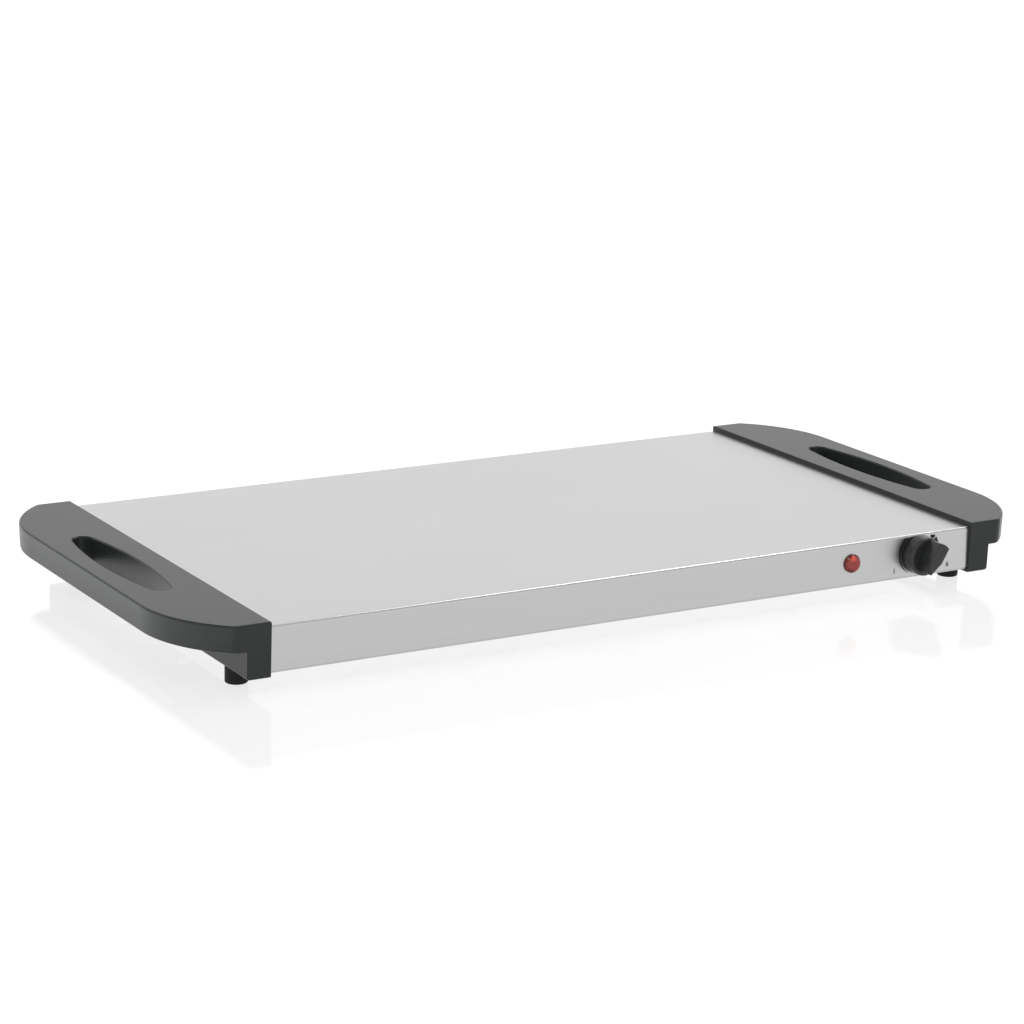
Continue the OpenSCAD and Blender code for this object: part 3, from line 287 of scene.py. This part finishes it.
def offset_from_front(tree, point):
    """Offset from a point as it is seen from the front: across and up, with no depth."""
    offset = vector_step(tree, "SUBTRACT", object_place(tree), point)
    flat = vector_step(tree, "MULTIPLY", offset.outputs["Vector"], (1.0, 0.0, 1.0))
    return flat.outputs["Vector"]


def make_lens_zones():
    """Masks over the lens: its dark rim with painted shade low down, and a painted glow spot at its top."""
    low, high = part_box("lamp_lens")
    middle = (low + high) / 2
    tree, start, end = new_group(
        "lens_zones",
        [("Rim", LENS_RIM_R), ("Shade", LENS_SHADE_DROP), ("Spot", LENS_SPOT_R)],
        ["Deep", "Painted_glow"])

    def fade_past(node, label, target):
        beyond = combine(tree, "SUBTRACT", node.outputs["Value"], start.outputs[label])
        return spread(tree, beyond, target, (0.0, LENS_BLUR))

    from_middle = offset_from_front(tree, middle)
    reach = vector_step(tree, "LENGTH", from_middle)
    fall = vector_step(tree, "DOT_PRODUCT", from_middle, LENS_FALL)
    from_spot = vector_step(tree, "LENGTH", offset_from_front(tree, middle + LENS_SPOT_PLACE))
    at_rim = fade_past(reach, "Rim", MASK_RANGE)
    # Painted shade: the lens is made darker low down, along the fall
    painted_shade_low_down = fade_past(fall, "Shade", MASK_RANGE)
    link(tree, combine(tree, "MAXIMUM", at_rim, painted_shade_low_down), end.inputs["Deep"])
    # Painted glow: a bright spot near the top of the lens
    link(tree, fade_past(from_spot, "Spot", (1.0, 0.0)), end.inputs["Painted_glow"])
    return tree


def lens_finish():
    """Clear red plastic that the bulb behind it lights up, with a painted glow near its top and painted shade low
    down.
    """
    material, tree, shader = new_finish(
        "red_lens", Roughness=0.10, IOR=1.49, Specular_IOR_Level=0.4, Emission_Strength=0.5)
    zones = place_group(tree, make_lens_zones())
    # The darker tone covers the lens's rim and its painted shade low down
    body_and_rim_and_painted_shade = (rgb(0.25, 0.030, 0.022), rgb(0.085, 0.006, 0.003))
    tint(tree, shader, zones.outputs["Deep"], body_and_rim_and_painted_shade, MASK_RANGE)
    # The bright emission colour is a painted glow near the top
    faint_and_painted_glow = (rgb(0.04, 0.003, 0.002), rgb(0.80, 0.07, 0.02))
    glow_and_painted_light = blend(tree, zones.outputs["Painted_glow"], faint_and_painted_glow)
    link(tree, glow_and_painted_light, shader.inputs["Emission Color"])
    return material


def bulb_finish():
    material, tree, shader = new_finish(
        "bulb_glass", Roughness=0.05, IOR=1.5, Transmission_Weight=0.9)
    texture = place_group(tree, MOULDED_TEXTURE, Drift=300.0)
    tones = (rgb(0.95, 0.72, 0.55), rgb(1.0, 0.86, 0.74))
    tint(tree, shader, texture.outputs["Tone"], tones)
    return material


def earth_sheath_finish():
    """Green sheath with yellow stripes."""
    material, tree, shader = new_finish("earth_sheath", Roughness=0.45)
    stripes = add_node(tree, "ShaderNodeTexWave", Scale=120.0, Distortion=0.0)
    link(tree, object_place(tree), stripes.inputs["Vector"])
    green_and_yellow = (rgb(0.05, 0.22, 0.04), rgb(0.62, 0.50, 0.03))
    tint(tree, shader, stripes.outputs["Fac"], green_and_yellow, (0.45, 0.55))
    return material


FINISHES = {
    "plate": brushed_finish(
        "satin_steel", tones=(grey(0.483), grey(0.513)), roughness=(0.285, 0.305),
        depth=0.004 * MM),
    "pan": speckled_finish(
        "galvanised", tones=(grey(0.42), grey(0.62)), roughness=(0.30, 0.50),
        cells=140.0, dust=900.0, metallic=1.0),
    "handle": moulded_finish(
        "handle_plastic", tones=(rgb(0.0205, 0.0228, 0.0220), rgb(0.0235, 0.0260, 0.0252)),
        roughness=(0.29, 0.36), pimples=1600.0, depth=0.03 * MM,
        specular=0.24, sheen=rgb(0.96, 1.0, 0.98)),
    "knob": moulded_finish(
        "knob_plastic", tones=(rgb(0.0220, 0.0236, 0.0230), rgb(0.0255, 0.0274, 0.0268)),
        roughness=(0.20, 0.28), pimples=2200.0, depth=0.02 * MM, specular=0.32),
    "rubber": moulded_finish(
        "foot_rubber", tones=(grey(0.004), grey(0.007)), roughness=(0.55, 0.70),
        pimples=900.0, depth=0.05 * MM, specular=0.25),
    "zinc": speckled_finish(
        "zinc_plate", tones=(grey(0.46), grey(0.60)), roughness=(0.25, 0.42),
        cells=700.0, dust=1600.0, metallic=1.0),
    "brass": speckled_finish(
        "brass", tones=(rgb(0.58, 0.40, 0.14), rgb(0.72, 0.53, 0.22)), roughness=(0.22, 0.38),
        cells=500.0, dust=1500.0, metallic=1.0),
    "ceramic": speckled_finish(
        "fired_clay", tones=(rgb(0.70, 0.67, 0.60), rgb(0.82, 0.79, 0.73)),
        roughness=(0.55, 0.75), cells=1200.0, dust=2500.0),
    "holder": moulded_finish(
        "holder_plastic", tones=(grey(0.72), grey(0.80)), roughness=(0.35, 0.45),
        pimples=1200.0, depth=0.03 * MM),
    "bulb": bulb_finish(),
    "lens": lens_finish(),
    "silicone": moulded_finish(
        "silicone_sheath", tones=(rgb(0.42, 0.38, 0.34), rgb(0.52, 0.48, 0.44)),
        roughness=(0.50, 0.62), pimples=900.0, depth=0.03 * MM),
    "brown": moulded_finish(
        "brown_sheath", tones=(rgb(0.10, 0.045, 0.020), rgb(0.15, 0.070, 0.032)),
        roughness=(0.40, 0.52), pimples=900.0, depth=0.02 * MM),
    "blue": moulded_finish(
        "blue_sheath", tones=(rgb(0.030, 0.070, 0.26), rgb(0.045, 0.100, 0.34)),
        roughness=(0.40, 0.52), pimples=900.0, depth=0.02 * MM),
    "earth": earth_sheath_finish(),
    "foil": brushed_finish(
        "bright_foil", tones=(grey(0.74), grey(0.84)), roughness=(0.16, 0.30), depth=0.04 * MM),
    "wool": speckled_finish(
        "glass_wool", tones=(rgb(0.62, 0.55, 0.28), rgb(0.80, 0.74, 0.46)),
        roughness=(0.85, 1.0), cells=350.0, dust=260.0, depth=0.6 * MM),
    "gland": moulded_finish(
        "gland_plastic", tones=(grey(0.014), grey(0.022)), roughness=(0.35, 0.45),
        pimples=1300.0, depth=0.04 * MM),
    "ink": moulded_finish(
        "panel_ink", tones=(grey(0.010), grey(0.018)), roughness=(0.45, 0.60),
        pimples=2600.0, depth=0.01 * MM, specular=0.3),
}

FINISH_OF_SLOT = {
    "plate_steel": "plate",
    "pan_steel": "pan",
    "handle_plastic": "handle",
    "foot_rubber": "rubber",
    "zinc_steel": "zinc",
    "knob_plastic": "knob",
    "brass": "brass",
    "ceramic": "ceramic",
    "lamp_red": "lens",
    "white_plastic": "holder",
    "bulb_glass": "bulb",
    "silicone_sheath": "silicone",
    "brown_sheath": "brown",
    "blue_sheath": "blue",
    "earth_sheath": "earth",
    "foil": "foil",
    "glass_wool": "wool",
    "black_plastic": "gland",
}

for subpart in frame["record"]["subparts"]:
    mesh = frame["nodes"][subpart["node"]].data
    mesh.materials.clear()
    mesh.materials.append(FINISHES[FINISH_OF_SLOT[subpart["material_slot"]]])


# Printed scale round the knob, which widens clockwise: a sweep on the left and blocks on the
# right; angles are in degrees, counted anticlockwise from the right as seen from the front

PANEL_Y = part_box("heating_plate")[0].y
KNOB_AXIS = Vector(frame["joints"][0]["pos_m"])
INK_THICK = 0.05 * MM
ARC_SIDES = 128
SCALE_INNER_R = 13.7 * MM
SCALE_START = 238.0
SCALE_START_W = 0.3 * MM
# Width that the scale gains with each degree
SCALE_GROWTH = 0.0140 * MM
# Height over the knob's axis at which the panel starts to bend over into the plate
SCALE_TOP = 11.5 * MM
SWEEP_END = 112
SWEEP_OUTER_R = 14.9 * MM
# The sweep's outer circle is shifted from the knob's axis, so that the sweep widens
SWEEP_SHIFT = 1.5 * MM
SWEEP_LEAN = math.radians(110.0)
BLOCK_ANGLES = (44, 29, 14, -1, -16)
BLOCK_HALF_ANGLE = 6.3
NUMBER_H = 3.2 * MM
NUMBER_WEIGHT = 0.1 * MM
# Share of a font's size that the height of a numeral takes
NUMERAL_SHARE = 0.7
# Numerals and their places from the knob's axis, across and up
SCALE_NUMBERS = (("1", -18.4 * MM, -9.5 * MM), ("6", 23.8 * MM, -9.7 * MM))


def deselect_all():
    bpy.ops.object.select_all(action="DESELECT")


def add_disc(name, radius, thick, shift):
    """A round disc that lies on the front panel, its middle shifted from the knob's axis."""
    deselect_all()
    across = shift * math.cos(SWEEP_LEAN)
    up = shift * math.sin(SWEEP_LEAN)
    bpy.ops.mesh.primitive_cylinder_add(
        vertices=ARC_SIDES, radius=radius, depth=thick, rotation=STANDING,
        location=(KNOB_AXIS.x + across, PANEL_Y, KNOB_AXIS.z + up))
    disc = bpy.context.object
    disc.name = name
    bpy.ops.object.transform_apply(location=True, rotation=True, scale=True)
    return disc


def cut_flat(point, normal, **cleared):
    """Cuts the edited mesh along a plane, clears one side of it and closes the cut."""
    bpy.ops.mesh.select_all(action="SELECT")
    bpy.ops.mesh.bisect(plane_co=point, plane_no=normal, use_fill=True, **cleared)


def cut_along(angle, keep_above):
    """Cuts the edited mesh along a line through the knob's axis and keeps one side of it."""
    turn = math.radians(angle)
    side = Vector((-math.sin(turn), 0, math.cos(turn)))
    cut_flat((KNOB_AXIS.x, PANEL_Y, KNOB_AXIS.z), side,
             clear_inner=keep_above, clear_outer=not keep_above)


def cut_at_bend():
    """Cuts the edited mesh off where the panel starts to bend over into the plate."""
    cut_flat((KNOB_AXIS.x, PANEL_Y, KNOB_AXIS.z + SCALE_TOP), (0, 0, 1), clear_outer=True)


def finish_ink(piece):
    piece.data.materials.clear()
    piece.data.materials.append(FINISHES["ink"])
    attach(piece, "chassis")


def add_scale_piece(name, start, end, outer_r, shift):
    """The part of the printed ring between two angles."""
    piece = add_disc(name, outer_r, 2 * INK_THICK, shift)
    hole = add_disc("scale_hole", SCALE_INNER_R, 8 * INK_THICK, 0)
    deselect_all()
    piece.select_set(True)
    bpy.context.view_layer.objects.active = piece
    cutter = piece.modifiers.new("hole", "BOOLEAN")
    cutter.operation = "DIFFERENCE"
    cutter.solver = "EXACT"
    cutter.object = hole
    bpy.ops.object.modifier_apply(modifier="hole")
    bpy.data.objects.remove(hole)
    bpy.ops.object.mode_set(mode="EDIT")
    cut_along(start, True)
    cut_along(end, False)
    cut_at_bend()
    bpy.ops.mesh.select_all(action="SELECT")
    bpy.ops.mesh.normals_make_consistent(inside=False)
    bpy.ops.object.mode_set(mode="OBJECT")
    finish_ink(piece)


def add_scale_number(text, across, up):
    """A plain printed numeral on the front panel."""
    deselect_all()
    bpy.ops.object.text_add(
        location=(KNOB_AXIS.x + across, PANEL_Y, KNOB_AXIS.z + up), rotation=STANDING)
    numeral = bpy.context.object
    numeral.name = "scale_number_" + text
    numeral.data.body = text
    numeral.data.align_x = "CENTER"
    numeral.data.align_y = "CENTER"
    numeral.data.size = NUMBER_H / NUMERAL_SHARE
    numeral.data.offset = NUMBER_WEIGHT
    numeral.data.extrude = INK_THICK
    bpy.ops.object.convert(target="MESH")
    bpy.ops.object.transform_apply(location=True, rotation=True, scale=True)
    finish_ink(bpy.context.object)


add_scale_piece("scale_sweep", SWEEP_END, SCALE_START, SWEEP_OUTER_R, SWEEP_SHIFT)
for number, angle in enumerate(BLOCK_ANGLES, 1):
    block_w = SCALE_START_W + SCALE_GROWTH * (SCALE_START - angle)
    add_scale_piece(
        "scale_block_%d" % number, angle - BLOCK_HALF_ANGLE, angle + BLOCK_HALF_ANGLE,
        SCALE_INNER_R + block_w, 0)
for text, across, up in SCALE_NUMBERS:
    add_scale_number(text, across, up)


# Studio: lengths are in metres

FLOOR_SIZE = 14.0
# The floor's glow grows with the distance from the tray's middle, which paints a shadow under the tray
FLOOR_GLOW_WITH_PAINTED_SHADOW = (0.77, 0.88)
FLOOR_PAINTED_SHADOW_REACH = (0.45, 0.9)
# A painted pool of light is added on the left, up to the tray's end
LEFT_PAINTED_LIGHT = (0.9, 0.0)
LEFT_PAINTED_LIGHT_X = (-0.37, -0.31)
# Heights and depths of a direction between which the surround changes
SURROUND_RISE = (0.3, 0.75)
SURROUND_DEPTH = (-0.2, 0.7)
CAMERA_PLACE = Vector((-0.97696, -1.65399, 0.55292))
CAMERA_AZIMUTH = math.radians(-30.2868)
CAMERA_ELEVATION = math.radians(14.8050)
CAMERA_ROLL = math.radians(1.218)
# Focal length and width of the sensor, in millimetres as Blender takes them
CAMERA_LENS = 109.05
CAMERA_SENSOR = 36.0


def add_floor():
    """A white light table with a faint gloss that glows, least under the tray as a painted shadow, with painted
    light on the left.
    """
    deselect_all()
    bpy.ops.mesh.primitive_plane_add(size=FLOOR_SIZE, location=(0, 0, 0))
    floor = bpy.context.object
    floor.name = "light_table"
    material, tree, shader = new_finish(
        "light_table", Roughness=0.08, Specular_IOR_Level=0.2, Emission_Color=WHITE)
    texture = place_group(tree, MOULDED_TEXTURE, Drift=2.0)
    tint(tree, shader, texture.outputs["Tone"], (grey(0.16), grey(0.18)))
    place = object_place(tree)
    reach = vector_step(tree, "LENGTH", place)
    split = tree.nodes.new("ShaderNodeSeparateXYZ")
    link(tree, place, split.inputs["Vector"])
    # Painted shadow: less glow near the tray's middle; painted light: more glow on the left
    glow_and_painted_light = combine(
        tree, "ADD",
        spread(tree, reach.outputs["Value"], FLOOR_GLOW_WITH_PAINTED_SHADOW, FLOOR_PAINTED_SHADOW_REACH),
        spread(tree, split.outputs["X"], LEFT_PAINTED_LIGHT, LEFT_PAINTED_LIGHT_X))
    link(tree, glow_and_painted_light, shader.inputs["Emission Strength"])
    floor.data.materials.append(material)


def add_softbox(name, place, target, width, height, radiance):
    light = bpy.data.lights.new(name, "AREA")
    light.shape = "RECTANGLE"
    light.size = width
    light.size_y = height
    light.energy = radiance * math.pi * width * height
    box = bpy.data.objects.new(name, light)
    bpy.context.scene.collection.objects.link(box)
    box.location = place
    aim = Vector(target) - Vector(place)
    box.rotation_euler = aim.to_track_quat("-Z", "Y").to_euler()


def add_surround(front, back, zenith):
    """White surround, brightest low down and behind the tray."""
    world = bpy.data.worlds.new("studio")
    bpy.context.scene.world = world
    world.use_nodes = True
    tree = world.node_tree
    background = tree.nodes["Background"]
    background.inputs["Color"].default_value = WHITE
    direction = tree.nodes.new("ShaderNodeTexCoord").outputs["Generated"]
    split = tree.nodes.new("ShaderNodeSeparateXYZ")
    link(tree, direction, split.inputs["Vector"])
    strength = combine(
        tree, "MULTIPLY",
        spread(tree, split.outputs["Z"], (1.0, zenith), SURROUND_RISE),
        spread(tree, split.outputs["Y"], (front, back), SURROUND_DEPTH))
    link(tree, strength, background.inputs["Strength"])


def add_camera():
    camera = bpy.data.cameras.new("photo_view")
    camera.sensor_width = CAMERA_SENSOR
    camera.lens = CAMERA_LENS
    camera.clip_start = 0.05
    camera.clip_end = 50.0
    stand = bpy.data.objects.new("photo_view", camera)
    bpy.context.scene.collection.objects.link(stand)
    turn = (Matrix.Rotation(CAMERA_AZIMUTH, 4, "Z")
            @ Matrix.Rotation(math.pi / 2 - CAMERA_ELEVATION, 4, "X")
            @ Matrix.Rotation(CAMERA_ROLL, 4, "Z"))
    stand.matrix_world = Matrix.Translation(CAMERA_PLACE) @ turn
    bpy.context.scene.camera = stand


add_floor()
add_surround(front=0.97, back=1.22, zenith=0.6)
add_softbox(
    "top_softbox", place=(1.0, 0.1, 1.6), target=(0.1, 0.0, 0.0),
    width=0.9, height=0.6, radiance=5.0)
add_softbox(
    "front_softbox", place=(-0.7, -1.1, 1.7), target=(0.1, -0.1, 0.0),
    width=0.7, height=0.5, radiance=4.0)
add_camera()
bpy.context.scene.view_settings.view_transform = "Standard"
